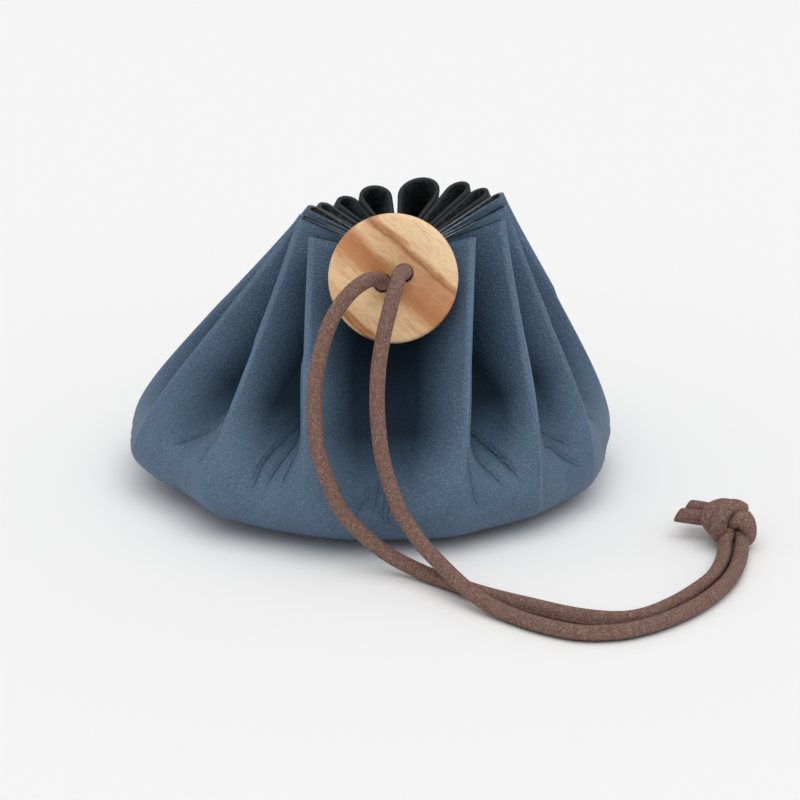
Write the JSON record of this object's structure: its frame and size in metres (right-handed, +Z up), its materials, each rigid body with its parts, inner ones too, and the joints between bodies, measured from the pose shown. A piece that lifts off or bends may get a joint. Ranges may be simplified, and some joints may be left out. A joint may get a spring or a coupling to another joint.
{
  "type": "leather drawstring pouch",
  "caption": "Small gathered leather pouch, closed by a knotted cord drawn through a sliding round wooden stopper.",
  "frame": {"origin": "centre of the flat base, on the surface the pouch stands on", "axes": "+Z up through the gathered neck, -Y the front with the wooden stopper and the loose cord, +X to the right seen from the front"},
  "size_m": [0.1185, 0.1282, 0.0583],
  "materials": {
    "leather": "soft grained blue leather, dark suede inside",
    "wood": "oiled streaky olive wood",
    "cord": "waxed braided brown cotton cord"
  },
  "bodies": {
    "pouch": {"leather_body": "leather", "neck_loop": "cord", "strand_left": "cord", "strand_right": "cord", "end_knot": "cord", "tail_front": "cord", "tail_back": "cord"},
    "stopper": {"wood_button": "wood"}
  },
  "joints": [
    {"name": "stopper_slide", "type": "slide", "parent": "pouch", "child": "stopper", "axis": [0, -0.9397, 0.342], "range_m": [0, 0.005]}
  ]
}
